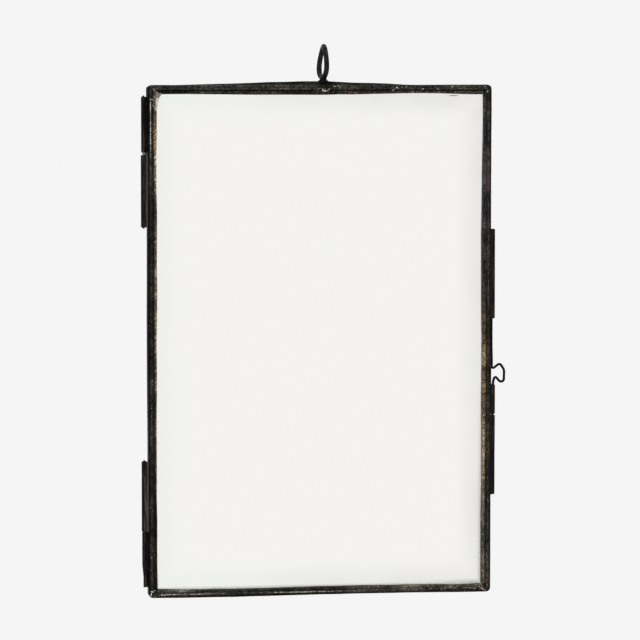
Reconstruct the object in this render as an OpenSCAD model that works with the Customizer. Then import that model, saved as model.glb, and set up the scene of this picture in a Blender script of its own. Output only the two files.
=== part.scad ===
// Floating frame for a picture or pressed leaf: two panes of clear glass, each edged
// with a folded metal channel soldered at its corners. The front pane is a door on two
// barrel hinges. A bent wire pin slides in tubes on the other side and locks the door,
// and a wire ring soldered to the top of the back pane hangs the frame on a hook.
//
// The origin is the centre of the ring. +X is to the right, +Y to the wall, +Z up.

/* [Panes] */
// Width of each pane over its edging
frame_w = 205; // [140:1:300]
// Height of each pane over its edging
frame_h = 302.4; // [260:0.1:420]
// Gap between the two closed panes
seam_gap = 0.3; // [0.2:0.05:0.6]
// Radius of the outer corners of each pane
corner_r = 2.6; // [0.6:0.1:3]

/* [Edging] */
// Face width of the edging
rail_w = 4.9; // [4:0.1:7]
// Thickness of the folded sheet metal
sheet_t = 0.5; // [0.3:0.05:0.8]
// Thickness of the outer wall of the edging, which is folded double
wall_t = 1; // [0.6:0.1:1.4]
// Width of the round bead along the outer edge
bead_w = 3; // [2:0.1:3.6]
// Height of the round bead over the flat lip beside it
bead_h = 0.9; // [0.4:0.05:1]

/* [Glass] */
// Thickness of each sheet of glass
glass_t = 2; // [1.5:0.1:3]
// Clearance on each face of the glass in its channel
glass_face_gap = 0.05; // [0.02:0.01:0.1]
// Clearance between the edge of the glass and the wall of its channel
glass_edge_gap = 0.2; // [0.1:0.05:0.5]

/* [Corner solder] */
// Width of the soldered seam at each mitre
mitre_gap = 0.5; // [0.3:0.05:0.8]
// How far the solder stands over the edging
solder_proud = 0.15; // [0.05:0.05:0.3]

/* [Hanging ring] */
// Diameter of the hole in the ring
ring_hole_d = 15.4; // [12:0.1:24]
// Diameter of the ring's wire
ring_wire_d = 3.0; // [2:0.1:3.2]
// Distance of the ring from the middle of the frame
ring_x = 2.6; // [-10:0.1:10]
// Turn of the ring about the vertical
ring_twist = 4.4; // [-10:0.1:10]
// Lean of the ring to the right at its top
ring_lean = 2.6; // [-5:0.1:5]
// Thickness of solder under the ring
ring_seat = 0.6; // [0.3:0.1:1]
// Diameter of the solder around the foot of the ring
ring_solder_d = 5.9; // [5:0.1:8]
// Height of the solder around the foot of the ring
ring_solder_h = 2.4; // [1.8:0.1:3]
// Height that the top edging rises to under the ring
crown_h = 2.3; // [1:0.1:4]
// Length of the rise on the left of the ring
crown_left = 89; // [40:1:95]
// Length of the rise on the right of the ring
crown_right = 57; // [30:1:60]

/* [Hinges] */
// Diameter of the hinge wire
hinge_pin_d = 1.25; // [1:0.05:1.6]
// Length of hinge wire that stands out of each end of a hinge
hinge_pin_proud = 0.7; // [0.3:0.1:2]
// Outer diameter of the knuckles on the back pane
outer_knuckle_d = 2.8; // [2.6:0.1:3.2]
// Outer diameter of the knuckles on the door
inner_knuckle_d = 3.2; // [2.8:0.1:3.6]
// Distance of the hinge axis from the side of the frame
hinge_offset = 2.5; // [2:0.1:3.5]
// Distance from the end of the frame to the nearest knuckle
hinge_inset = 6.8; // [4:0.1:15]
// Length of the upper hinge's knuckle on the back pane
upper_outer_l = 32.7; // [20:0.1:40]
// Length of the upper hinge's knuckle on the door
upper_inner_l = 42.5; // [20:0.1:50]
// Gap between the knuckles of the upper hinge
upper_knuckle_gap = 1.5; // [0.5:0.1:3]
// Length of the lower hinge's knuckle on the back pane
lower_outer_l = 32.1; // [20:0.1:40]
// Length of the lower hinge's knuckle on the door
lower_inner_l = 41.6; // [20:0.1:50]
// Gap between the knuckles of the lower hinge, where the door rests
lower_knuckle_gap = 0.3; // [0.2:0.05:1]
// Clearance around the hinge wire in the door's knuckles
hinge_run = 0.08; // [0.03:0.01:0.1]

/* [Latch] */
// Diameter of the latch wire
latch_wire_d = 1.25; // [1:0.05:1.5]
// Clearance around the latch wire in its tubes
latch_run = 0.09; // [0.03:0.01:0.1]
// Outer diameter of the latch tubes
latch_tube_d = 2.8; // [2.6:0.1:3]
// Distance of the latch wire from the side of the frame
latch_offset = 1.7; // [1.65:0.05:2.5]
// Height of the top of the keeper tube over the bottom of the frame
keeper_top = 105.2; // [70:0.1:120]
// Length of the keeper tube on the door
keeper_l = 47.2; // [20:0.1:60]
// Gap between the keeper tube and the guide tube over it
guide_gap = 1.4; // [0.8:0.1:3]
// Length of the guide tube on the back pane
guide_l = 17.3; // [17:0.1:25]
// Gap between the guide tube and the upper tube, where the handle moves
handle_room = 39.4; // [36:0.1:50]
// Length of the upper tube on the back pane
upper_tube_l = 53.5; // [46:0.1:60]
// Length of latch wire inside the upper tube
wire_in_upper_tube = 26.7; // [20:0.1:28]
// Height of the wire's lower end over the keeper tube when it is unlocked
tip_gap = 0.2; // [0.1:0.05:0.5]
// How far the wire drops to lock the door
latch_drop = 2.4; // [1.5:0.1:3]
// Clearance between the handle and the guide tube when the door is locked
drop_gap = 0.2; // [0.1:0.05:0.5]
// Reach of the handle from the wire
handle_reach = 7.1; // [6:0.1:9]
// Height of the handle
handle_h = 13.3; // [12:0.1:16]
// Smallest radius that the handle is bent to
bend_r = 0.9; // [0.8:0.05:1.1]

/* [Hidden] */

// Margin by which a cutting body passes the face that it cuts
cut = 1;

// Channel: lip, glass with its clearance, and lip with the bead, from the seam outwards
slot_t = glass_t + 2 * glass_face_gap;
flat_d = sheet_t + slot_t + sheet_t;
rail_d = flat_d + bead_h;
bead_r = (pow(bead_w / 2, 2) + pow(bead_h, 2)) / (2 * bead_h);
seam_y = seam_gap / 2;

// Glass
glass_inset = wall_t + glass_edge_gap;
glass_y = seam_y + sheet_t + glass_face_gap;

// Mitres: half the seam, measured along the edging
mitre_step = mitre_gap / 2 * sqrt(2);

// Ring and the raised top edging under it
ring_r = (ring_hole_d + ring_wire_d) / 2;
ring_y = seam_y + flat_d / 2;
crown_top = frame_h + crown_h;
ring_z = crown_top + ring_seat + ring_wire_d / 2 + ring_r;
crown_flat = ring_solder_d + 0.4;

// Sheet that the knuckles and tubes are rolled from, with the leaf that is soldered on
leaf_t = sheet_t;
leaf_w = flat_d;
web_t = 0.8;

// Heights of the hinge knuckles
upper_outer_z = frame_h - hinge_inset - upper_outer_l;
upper_inner_z = upper_outer_z - upper_knuckle_gap - upper_inner_l;
lower_outer_z = hinge_inset;
lower_inner_z = lower_outer_z + lower_outer_l + lower_knuckle_gap;

// Heights of the latch tubes
keeper_z = keeper_top - keeper_l;
guide_z = keeper_top + guide_gap;
guide_top = guide_z + guide_l;
upper_tube_z = guide_top + handle_room;

// Latch wire: its ends, and the corners of its handle before they are bent round.
// Each corner is [distance from the tubes' axis, height over the guide tube, radius].
wire_low = keeper_top + tip_gap;
wire_high = upper_tube_z + wire_in_upper_tube;
neck_r = 1.5;
neck_z = latch_drop + drop_gap + 0.4;
wire_path = [
    [0, wire_high - guide_top, 0],
    [0, neck_z + 5.4, bend_r],
    [handle_reach - 3.2, handle_h - 0.4, 1.6],
    [handle_reach, handle_h / 2, 4],
    [handle_reach - 1.2, -0.4, 1.4],
    [1.1, neck_z + 2.1, bend_r],
    [0, neck_z, neck_r],
    [0, wire_low - guide_top, 0]
];

// Where a straight length of wire runs into a bend
joint_l = 0.1;
joint_swell = 0.02;

// Facets used when the model is drawn on screen
$fn = 64;

patina = [0.17, 0.16, 0.14];
tube_black = [0.11, 0.11, 0.11];
solder_grey = [0.42, 0.41, 0.39];
wire_grey = [0.2, 0.2, 0.19];
glass_tint = [0.9, 0.94, 0.91, 0.3];

// ---- Places ----

// Moves from the middle of the bottom edge at the seam to the part's own origin
module at_ring_origin() {
    translate([-ring_x, -ring_y, -ring_z]) children();
}

// Draws a piece of the back pane, which lies on the far side of the seam
module on_back() {
    at_ring_origin() children();
}

// Draws a piece of the door, which mirrors the back pane across the seam
module on_door() {
    at_ring_origin() mirror([0, 1, 0]) children();
}

// Extrudes an outline drawn in the plane of the pane from y0 to y1
module through_pane(y0, y1) {
    translate([0, y1, 0])
        rotate([90, 0, 0])
            linear_extrude(y1 - y0) children();
}

// ---- Edging ----

// Section of the edging: X runs inwards from the outer edge, Y from the seam to the bead
module rail_section(proud = 0) {
    difference() {
        union() {
            translate([-proud, 0])
                square([rail_w + 2 * proud, flat_d + proud]);
            intersection() {
                translate([bead_w / 2, rail_d - bead_r])
                    circle(r = bead_r + proud);
                translate([-proud, 0])
                    square([bead_w + 2 * proud, rail_d + 2 * proud]);
            }
        }
        translate([wall_t, sheet_t])
            square([rail_w + cut, slot_t]);
    }
}

// Straight length of edging along X, with its outer edge at Z = 0
module rail_bar(len, proud = 0) {
    translate([len / 2, seam_y, 0])
        rotate([0, -90, 0])
            linear_extrude(len) rail_section(proud);
}

// Length of edging with both ends mitred and cut back for the solder
module mitred_rail(len) {
    outer = len / 2 - mitre_step;
    intersection() {
        rail_bar(len);
        through_pane(0, rail_d + cut)
            polygon([
                [-outer, 0],
                [outer, 0],
                [outer - rail_w, rail_w],
                [rail_w - outer, rail_w]
            ]);
    }
}

// Outline of a pane with its rounded corners
module pane_outline() {
    translate([-frame_w / 2, corner_r])
        square([frame_w, frame_h - 2 * corner_r]);
    translate([corner_r - frame_w / 2, 0])
        square([frame_w - 2 * corner_r, frame_h]);
    for (x = [-1, 1], z = [corner_r, frame_h - corner_r])
        translate([x * (frame_w / 2 - corner_r), z])
            circle(r = corner_r);
}

module rounded_to_pane() {
    intersection() {
        children();
        through_pane(0, rail_d + cut) pane_outline();
    }
}

module bottom_rail() {
    rounded_to_pane() mitred_rail(frame_w);
}

module top_rail() {
    rounded_to_pane()
        translate([0, 0, frame_h])
            rotate([0, 180, 0]) mitred_rail(frame_w);
}

// Side is -1 for the left edging and 1 for the right
module side_rail(side) {
    rounded_to_pane()
        translate([side * frame_w / 2, 0, frame_h / 2])
            rotate([0, -side * 90, 0]) mitred_rail(frame_h);
}

// Rise of the back pane's top edging, pulled up under the ring
module crown() {
    through_pane(seam_y, seam_y + flat_d)
        polygon([
            [ring_x - crown_left, frame_h - wall_t / 2],
            [ring_x - crown_left, frame_h],
            [ring_x - crown_flat / 2, crown_top],
            [ring_x + crown_flat / 2, crown_top],
            [ring_x + crown_right, frame_h],
            [ring_x + crown_right, frame_h - wall_t / 2]
        ]);
}

// ---- Solder at the corners ----

// Half of the soldered seam, on the side of the edging that runs along X
module solder_half() {
    far = rail_w + solder_proud;
    intersection() {
        translate([rail_w, 0, 0]) rail_bar(4 * rail_w, solder_proud);
        through_pane(0, rail_d + cut)
            polygon([
                [-solder_proud, -solder_proud],
                [mitre_step - solder_proud, -solder_proud],
                [far + mitre_step, far],
                [far, far]
            ]);
    }
}

// Rounded outline that the solder is filed to at the tip of the corner
module corner_outline() {
    reach = 3 * rail_w;
    translate([corner_r, corner_r])
        circle(r = corner_r + solder_proud);
    translate([corner_r, -solder_proud])
        square([reach, reach]);
    translate([-solder_proud, corner_r])
        square([reach, reach]);
}

// Solder in the seam of one corner, whose outer tip is at the origin
module mitre_solder() {
    intersection() {
        union() {
            solder_half();
            mirror([1, 0, -1]) solder_half();
        }
        through_pane(0, rail_d + cut) corner_outline();
    }
}

module corner_solder() {
    for (right = [0, 1], top = [0, 1])
        mirror([right, 0, 0])
            translate([-frame_w / 2, 0, top * frame_h])
                mirror([0, 0, top]) mitre_solder();
}

// ---- Glass ----

module glass_sheet() {
    translate([glass_inset - frame_w / 2, glass_y, glass_inset])
        cube([frame_w - 2 * glass_inset, glass_t, frame_h - 2 * glass_inset]);
}

// ---- Rolled tubes ----

// Tube rolled from sheet, with the leaf that is soldered to the side of its pane.
// Its axis is Z, and the side of the pane is at X = offset.
module rolled_tube(len, tube_d, bore_d, offset) {
    difference() {
        union() {
            cylinder(h = len, d = tube_d);
            translate([0, tube_d / 2 - web_t, 0])
                cube([offset, web_t, len]);
            translate([offset - leaf_t, seam_y, 0])
                cube([leaf_t, leaf_w, len]);
        }
        translate([0, 0, -cut])
            cylinder(h = len + 2 * cut, d = bore_d);
    }
}

// Side is -1 for the hinges on the left and 1 for the latch on the right
module beside_frame(side, offset, z) {
    translate([side * (frame_w / 2 + offset), 0, z])
        mirror([side > 0 ? 1 : 0, 0, 0]) children();
}

module hinge_knuckle(z, len, tube_d, clearance) {
    beside_frame(-1, hinge_offset, z)
        rolled_tube(len, tube_d, hinge_pin_d + 2 * clearance, hinge_offset);
}

module hinge_pin(low, high) {
    beside_frame(-1, hinge_offset, low - hinge_pin_proud)
        cylinder(h = high - low + 2 * hinge_pin_proud, d = hinge_pin_d);
}

module latch_tube(z, len) {
    beside_frame(1, latch_offset, z)
        rolled_tube(len, latch_tube_d, latch_wire_d + 2 * latch_run, latch_offset);
}

// ---- Bent wire ----

function flat(p) = [p[0], p[1]];
function unit(v) = v / norm(v);
function heading(v) = atan2(v[1], v[0]);
// Half the angle between the two straights that meet at corner i
function half_corner(path, i) =
    acos(unit(flat(path[i - 1] - path[i])) * unit(flat(path[i + 1] - path[i]))) / 2;
// Length that the bend at corner i takes from each of its straights
function bend_take(path, i) = path[i][2] == 0 ? 0 : path[i][2] / tan(half_corner(path, i));
// Turn at corner i: positive to the left
function turn(path, i) =
    let (
        a = heading(flat(path[i] - path[i - 1])),
        b = heading(flat(path[i + 1] - path[i])),
        t = b - a
    )
    t > 180 ? t - 360 : t < -180 ? t + 360 : t;

// Straight from corner i to the next. It stops short of the bends at its ends, and each
// of those ends runs into the bend through a ball a little thicker than the wire.
module wire_straight(path, i, wire_d) {
    run = flat(path[i + 1] - path[i]);
    start = bend_take(path, i);
    end = norm(run) - bend_take(path, i + 1);
    bent_start = path[i][2] > 0;
    bent_end = path[i + 1][2] > 0;
    low = start + (bent_start ? joint_l : 0);
    high = end - (bent_end ? joint_l : 0);
    translate(concat(flat(path[i]), 0))
        rotate([0, 0, heading(run)])
            rotate([0, 90, 0]) {
                translate([0, 0, low])
                    cylinder(h = high - low, d = wire_d);
                if (bent_start)
                    translate([0, 0, start + joint_l / 2])
                        sphere(d = wire_d + 2 * joint_swell);
                if (bent_end)
                    translate([0, 0, end - joint_l / 2])
                        sphere(d = wire_d + 2 * joint_swell);
            }
}

// Round bend at corner i
module wire_bend(path, i, wire_d) {
    run = flat(path[i] - path[i - 1]);
    angle = turn(path, i);
    side = sign(angle);
    radius = path[i][2];
    start = flat(path[i]) - unit(run) * bend_take(path, i);
    across = side * [-unit(run)[1], unit(run)[0]];
    translate(concat(start + across * radius, 0))
        rotate([0, 0, heading(-across) + (side > 0 ? 0 : angle)])
            rotate_extrude(angle = abs(angle))
                translate([radius, 0]) circle(d = wire_d);
}

module bent_wire(path, wire_d) {
    for (i = [0 : len(path) - 2])
        wire_straight(path, i, wire_d);
    for (i = [1 : len(path) - 2])
        wire_bend(path, i, wire_d);
}

// ---- Back pane ----

module back_glass() {
    color(glass_tint) on_back() glass_sheet();
}

module back_top_rail() {
    color(patina) on_back() {
        top_rail();
        crown();
    }
}

module back_bottom_rail() {
    color(patina) on_back() bottom_rail();
}

module back_left_rail() {
    color(patina) on_back() side_rail(-1);
}

module back_right_rail() {
    color(patina) on_back() side_rail(1);
}

module back_corner_solder() {
    color(solder_grey) on_back() corner_solder();
}

module upper_hinge_outer_knuckle() {
    color(tube_black) on_back()
        hinge_knuckle(upper_outer_z, upper_outer_l, outer_knuckle_d, 0);
}

module lower_hinge_outer_knuckle() {
    color(tube_black) on_back()
        hinge_knuckle(lower_outer_z, lower_outer_l, outer_knuckle_d, 0);
}

module upper_hinge_pin() {
    color(wire_grey) on_back()
        hinge_pin(upper_inner_z, upper_outer_z + upper_outer_l);
}

module lower_hinge_pin() {
    color(wire_grey) on_back()
        hinge_pin(lower_outer_z, lower_inner_z + lower_inner_l);
}

module upper_latch_tube() {
    color(tube_black) on_back() latch_tube(upper_tube_z, upper_tube_l);
}

module latch_guide_tube() {
    color(tube_black) on_back() latch_tube(guide_z, guide_l);
}

module ring_wire() {
    rotate([0, ring_lean, ring_twist])
        rotate([0, 90, 0])
            rotate_extrude()
                translate([ring_r, 0]) circle(d = ring_wire_d);
}

module hanging_ring() {
    color(wire_grey) ring_wire();
}

// Solder drawn up round the foot of the ring from the top of the edging
module ring_solder() {
    base_r = ring_solder_d / 2;
    neck = ring_wire_d / 2 + 0.5;
    color(solder_grey) difference() {
        intersection() {
            on_back() translate([ring_x, ring_y, crown_top])
                rotate_extrude()
                    polygon([
                        [0, 0],
                        [base_r, 0],
                        [base_r, ring_seat / 2],
                        [neck + 0.4, ring_seat + 0.3],
                        [neck, ring_solder_h],
                        [0, ring_solder_h]
                    ]);
            on_back() translate([ring_x - base_r, seam_y, crown_top])
                cube([ring_solder_d, flat_d, ring_solder_h]);
        }
        ring_wire();
    }
}

// ---- Door ----

module front_glass() {
    color(glass_tint) on_door() glass_sheet();
}

module front_top_rail() {
    color(patina) on_door() top_rail();
}

module front_bottom_rail() {
    color(patina) on_door() bottom_rail();
}

module front_left_rail() {
    color(patina) on_door() side_rail(-1);
}

module front_right_rail() {
    color(patina) on_door() side_rail(1);
}

module front_corner_solder() {
    color(solder_grey) on_door() corner_solder();
}

module upper_hinge_inner_knuckle() {
    color(tube_black) on_door()
        hinge_knuckle(upper_inner_z, upper_inner_l, inner_knuckle_d, hinge_run);
}

module lower_hinge_inner_knuckle() {
    color(tube_black) on_door()
        hinge_knuckle(lower_inner_z, lower_inner_l, inner_knuckle_d, hinge_run);
}

module latch_keeper_tube() {
    color(tube_black) on_door() latch_tube(keeper_z, keeper_l);
}

// ---- Latch ----

module latch_pin() {
    color(wire_grey) at_ring_origin()
        translate([frame_w / 2 + latch_offset, 0, guide_top])
            rotate([90, 0, 0]) bent_wire(wire_path, latch_wire_d);
}

back_glass();
back_top_rail();
back_bottom_rail();
back_left_rail();
back_right_rail();
back_corner_solder();
upper_hinge_outer_knuckle();
lower_hinge_outer_knuckle();
upper_hinge_pin();
lower_hinge_pin();
upper_latch_tube();
latch_guide_tube();
hanging_ring();
ring_solder();
front_glass();
front_top_rail();
front_bottom_rail();
front_left_rail();
front_right_rail();
front_corner_solder();
upper_hinge_inner_knuckle();
lower_hinge_inner_knuckle();
latch_keeper_tube();
latch_pin();
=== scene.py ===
"""Looks of a hinged floating frame: two panes of glass edged with blackened metal, with a
latch wire on one side and a hanging ring on top. Sizes are in metres, in the frame's axes:
+X to the right, +Y to the wall, +Z up, with the origin in the middle of the ring."""

import math

import bmesh
import bpy
from mathutils import Matrix, Vector


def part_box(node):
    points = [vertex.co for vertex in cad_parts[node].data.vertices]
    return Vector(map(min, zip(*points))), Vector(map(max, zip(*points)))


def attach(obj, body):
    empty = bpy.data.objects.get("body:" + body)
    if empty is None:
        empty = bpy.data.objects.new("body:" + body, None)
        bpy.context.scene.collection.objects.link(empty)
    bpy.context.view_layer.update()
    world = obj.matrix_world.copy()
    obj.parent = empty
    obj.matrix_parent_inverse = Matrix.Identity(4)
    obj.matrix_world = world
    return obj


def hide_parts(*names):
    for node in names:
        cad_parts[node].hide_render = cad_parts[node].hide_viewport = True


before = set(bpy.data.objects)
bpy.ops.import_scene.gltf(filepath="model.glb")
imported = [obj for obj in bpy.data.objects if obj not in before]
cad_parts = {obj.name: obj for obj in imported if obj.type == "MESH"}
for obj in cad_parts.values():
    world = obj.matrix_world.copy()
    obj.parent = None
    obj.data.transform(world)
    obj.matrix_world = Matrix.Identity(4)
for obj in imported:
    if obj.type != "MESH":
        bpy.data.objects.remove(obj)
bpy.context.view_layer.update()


# ---- Glass ----
# Two sheets of clear float glass, cut to slide into the channels of the edging. They are
# flat and clean in the middle, with painted shade on the glass beside the edging.

mm = 0.001
left_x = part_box("front_left_rail")[0].x
right_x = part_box("front_right_rail")[1].x
bottom_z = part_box("front_bottom_rail")[0].z
top_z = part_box("front_top_rail")[1].z
door_seam_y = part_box("front_left_rail")[1].y
back_seam_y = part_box("back_left_rail")[0].y
seam_y = (door_seam_y + back_seam_y) / 2
seam_half = (back_seam_y - door_seam_y) / 2
middle = Vector(((left_x + right_x) / 2, seam_y, (bottom_z + top_z) / 2))
half_w = (right_x - left_x) / 2
half_h = (top_z - bottom_z) / 2

GLASS_CLEAR = (0.992, 0.988, 0.978, 1)
# Painted shade on the glass beside the edging, greenish on the hinge side, greyer on the latch side
EDGE_SHADE_LEFT = (0.955, 0.972, 0.94, 1)
EDGE_SHADE_RIGHT = (0.915, 0.91, 0.90, 1)
# Colour of the dark spots on the glass and of the painted shade along its edging
GRIME_AND_SHADE = (0.60, 0.59, 0.56, 1)
glass_ior = 1.5


def add(tree, kind, inputs=None, **settings):
    """Adds a shader node. An input is a number, a colour or another node's output."""
    made = tree.nodes.new("ShaderNode" + kind)
    for name, value in settings.items():
        setattr(made, name, value)
    for name, value in (inputs or {}).items():
        if isinstance(value, bpy.types.NodeSocket):
            tree.links.new(value, made.inputs[name])
        else:
            made.inputs[name].default_value = value
    return made


def calc(tree, operation, *values):
    """Adds a Math node and returns its output."""
    return add(tree, "Math", dict(enumerate(values)), operation=operation).outputs[0]


def times(tree, first, second):
    return calc(tree, "MULTIPLY", first, second)


def minus(tree, first, second):
    return calc(tree, "SUBTRACT", first, second)


def apart(tree, first, second):
    """How far two values lie apart."""
    return calc(tree, "ABSOLUTE", minus(tree, first, second))


def fade(tree, value, low, high, to_low=0.0, to_high=1.0):
    """Goes smoothly from to_low to to_high as value goes from low to high."""
    return add(tree, "MapRange", {
        "Value": value, "From Min": low, "From Max": high,
        "To Min": to_low, "To Max": to_high,
    }, interpolation_type="SMOOTHSTEP").outputs["Result"]


def blend(tree, factor, first, second, mode="MIX"):
    """Mixes two colours and returns the result."""
    made = add(tree, "Mix", {0: factor, 6: first, 7: second}, data_type="RGBA", blend_type=mode)
    return made.outputs[2]


def tint(tree, colour, by):
    """Multiplies a colour by another one or by a number."""
    return blend(tree, 1.0, colour, by, "MULTIPLY")


def grain(tree, place, scale, detail=3.0, rough=0.55):
    """Noise from 0 to 1 over a place, with scale in cells to the metre."""
    return add(tree, "TexNoise", {
        "Vector": place, "Scale": scale, "Detail": detail, "Roughness": rough,
    }).outputs["Fac"]


def new_material(name):
    """An empty material with its node tree, and the piece's own coordinates in it."""
    material = bpy.data.materials.new(name)
    material.use_nodes = True
    tree = material.node_tree
    tree.nodes.clear()
    place = add(tree, "TexCoord").outputs["Object"]
    return material, tree, place


def end_material(tree, shader):
    """Joins the last shader of a material to its output."""
    add(tree, "OutputMaterial", {"Surface": shader.outputs[0]})


def new_group(name, **inputs):
    """A node group with its inputs, each with its kind."""
    tree = bpy.data.node_groups.new(name, "ShaderNodeTree")
    for socket, kind in inputs.items():
        tree.interface.new_socket(socket, in_out="INPUT", socket_type="NodeSocket" + kind)
    return tree, tree.nodes.new("NodeGroupInput").outputs


def end_group(tree, **results):
    """Gives a node group its outputs."""
    out = tree.nodes.new("NodeGroupOutput").inputs
    for name, value in results.items():
        kind = "Vector" if value.type == "VECTOR" else "Float"
        tree.interface.new_socket(name, in_out="OUTPUT", socket_type="NodeSocket" + kind)
        tree.links.new(value, out[name])


def use_group(tree, group, **inputs):
    """Places a node group in a material and returns its outputs."""
    return add(tree, "Group", inputs, node_tree=group).outputs


def build_pane_place():
    """Where a point lies on its pane: how far in from the outer edge, how high over the seam,
    and its place with the run of the edging drawn short, so that noise on it makes streaks."""
    tree, given = new_group("place_on_pane", Place="Vector")
    split = add(tree, "SeparateXYZ", {0: given["Place"]}).outputs
    in_x = minus(tree, half_w, apart(tree, split["X"], middle.x))
    in_z = minus(tree, half_h, apart(tree, split["Z"], middle.z))
    side = calc(tree, "LESS_THAN", in_x, in_z)
    streak_run = 0.28
    shrink_x = add(tree, "MapRange", {"Value": side, "To Min": streak_run, "To Max": 1.0})
    shrink_z = add(tree, "MapRange", {"Value": side, "To Min": 1.0, "To Max": streak_run})
    streak = add(tree, "CombineXYZ", {
        "X": times(tree, split["X"], shrink_x.outputs[0]),
        "Y": split["Y"],
        "Z": times(tree, split["Z"], shrink_z.outputs[0]),
    }).outputs[0]
    end_group(
        tree, Streak=streak, Side=side, Inset=calc(tree, "MINIMUM", in_x, in_z),
        Height=minus(tree, apart(tree, split["Y"], seam_y), seam_half),
        Across=calc(tree, "DIVIDE", minus(tree, split["X"], left_x), 2 * half_w),
        Up=calc(tree, "DIVIDE", minus(tree, split["Z"], bottom_z), 2 * half_h),
    )
    return tree


pane_place = build_pane_place()


def build_glass():
    material, tree, place = new_material("clear_glass")
    pane = use_group(tree, pane_place, Place=place)
    # Painted shade on the glass beside the edging, darker on the latch side than by the hinges
    edge_shade_w = 22 * mm
    rim = 4.6 * mm
    near = fade(tree, pane["Inset"], rim, edge_shade_w, 1.0, 0.0)
    cloud = grain(tree, place, 28)
    edge_shade = times(tree, near, fade(tree, cloud, 0.25, 0.75, 0.55, 1.0))
    tone = blend(tree, fade(tree, pane["Across"], 0.1, 1.0), EDGE_SHADE_LEFT, EDGE_SHADE_RIGHT)
    # Painted shade on the glass against the edging: a band low on the latch side and a line all
    # along the bottom, and a smear at the top by the hinges
    crumbs = fade(tree, grain(tree, place, 700, 3, 0.7), 0.35, 0.62, 0.4, 1.0)
    band = times(tree, fade(tree, pane["Up"], 0.5, 0.04),
                 fade(tree, pane["Across"], 0.75, 1.0, 0.0, 1.0))
    band = times(tree, band, fade(tree, pane["Inset"], rim, rim + 3.5 * mm, 1.0, 0.0))
    smear = times(tree, fade(tree, pane["Up"], 0.955, 0.98), fade(tree, pane["Across"], 0.05, 0.03))
    line = calc(tree, "MAXIMUM", fade(tree, pane["Up"], 0.06, 0.03, 0.0, 0.75), smear)
    line = times(tree, line, fade(tree, pane["Inset"], rim, rim + 1.7 * mm, 1.0, 0.0))
    shade_and_grime = times(tree, calc(tree, "MAXIMUM", band, line), crumbs)
    spots = fade(tree, grain(tree, pane["Streak"], 900, 1), 0.66, 0.72)
    spots = times(tree, spots, fade(tree, pane["Inset"], rim, rim + 2.2 * mm, 0.9, 0.0))
    shade_and_grime = calc(tree, "MAXIMUM", shade_and_grime, spots)
    wipes = grain(tree, add(tree, "Mapping", {
        "Vector": place, "Rotation": (0, 0.6, 0), "Scale": (1, 1, 6),
    }).outputs[0], 40, 4)
    shader = add(tree, "BsdfPrincipled", {
        "Base Color": blend(tree, shade_and_grime, blend(tree, edge_shade, GLASS_CLEAR, tone), GRIME_AND_SHADE),
        "Roughness": fade(tree, wipes, 0.45, 0.8, 0.0, 0.06),
        "IOR": glass_ior, "Transmission Weight": 1.0,
        "Normal": add(tree, "Bump", {
            "Height": grain(tree, place, 22, 1), "Strength": 0.05, "Distance": 0.2 * mm,
        }).outputs[0],
    })
    # Light from the lamps goes straight through, as clear glass lets it
    through = add(tree, "BsdfTransparent", {"Color": GLASS_CLEAR})
    mixed = add(tree, "MixShader", {
        0: add(tree, "LightPath").outputs["Is Shadow Ray"],
        1: shader.outputs[0], 2: through.outputs[0],
    })
    end_material(tree, mixed)
    return material


def dress(node, material):
    """Gives a node of the construction its finish."""
    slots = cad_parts[node].data.materials
    slots.clear()
    slots.append(material)


clear_glass = build_glass()
dress("back_glass", clear_glass)
dress("front_glass", clear_glass)


# ---- Edging ----
# Each pane is edged with a channel folded from thin sheet metal, whose outer edge is rolled
# into a round bead. It is rolled and mitred by hand, so it waves a little, and its black
# patina is rubbed down to the metal on the crest of the bead and along the inner lip. Its
# colour also carries painted shade on the outer sides and in the crease, and a painted
# highlight along the crest.

rail_w = 4.9 * mm
lip_t = 0.5 * mm
wall_t = 1.0 * mm
flat_d = 3.1 * mm
bead_w = 3.0 * mm
bead_h = 0.9 * mm
corner_r = 2.6 * mm
mitre_gap = 0.5 * mm
bead_r = ((bead_w / 2) ** 2 + bead_h ** 2) / (2 * bead_h)
bead_mid = (bead_w / 2, flat_d + bead_h - bead_r)
weld_gap = 0.002 * mm

SPECK = (0.30, 0.28, 0.26, 1)
NEAR_RING_DARK = (0.0015, 0.0014, 0.0014, 1)


def select(*pieces):
    """Selects these pieces and no others, with the first of them active."""
    bpy.ops.object.select_all(action="DESELECT")
    for piece in pieces:
        piece.select_set(True)
    bpy.context.view_layer.objects.active = pieces[0]


def start_piece(name, primitive, scale=(1, 1, 1), **settings):
    """Makes a simple mesh with its name, and with its place, turn and size in the mesh."""
    bpy.ops.object.select_all(action="DESELECT")
    primitive(**settings)
    piece = bpy.context.object
    piece.name = piece.data.name = name
    piece.scale = scale
    bpy.ops.object.transform_apply(location=True, rotation=True, scale=True)
    return piece


def arc(centre, radius, start, end, steps):
    """Points along a round stretch, from one angle in degrees to another."""
    turns = [math.radians(start + (end - start) * i / steps) for i in range(steps + 1)]
    return [(centre[0] + radius * math.cos(a), centre[1] + radius * math.sin(a)) for a in turns]


def draw_outline(name, points):
    """Draws a closed outline in space by pulling one point along it, and fills it."""
    piece = start_piece(name, bpy.ops.mesh.primitive_plane_add, size=mm, location=points[0])
    bpy.ops.object.mode_set(mode="EDIT")
    bpy.ops.mesh.select_mode(type="VERT")
    bpy.ops.mesh.select_all(action="SELECT")
    bpy.ops.mesh.merge(type="CENTER")
    for here, there in zip(points, points[1:] + points[:1]):
        step = Vector(there) - Vector(here)
        bpy.ops.mesh.extrude_region_move(TRANSFORM_OT_translate={"value": step})
    bpy.ops.mesh.select_all(action="SELECT")
    bpy.ops.mesh.remove_doubles(threshold=weld_gap)
    bpy.ops.mesh.edge_face_add()
    return piece


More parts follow.
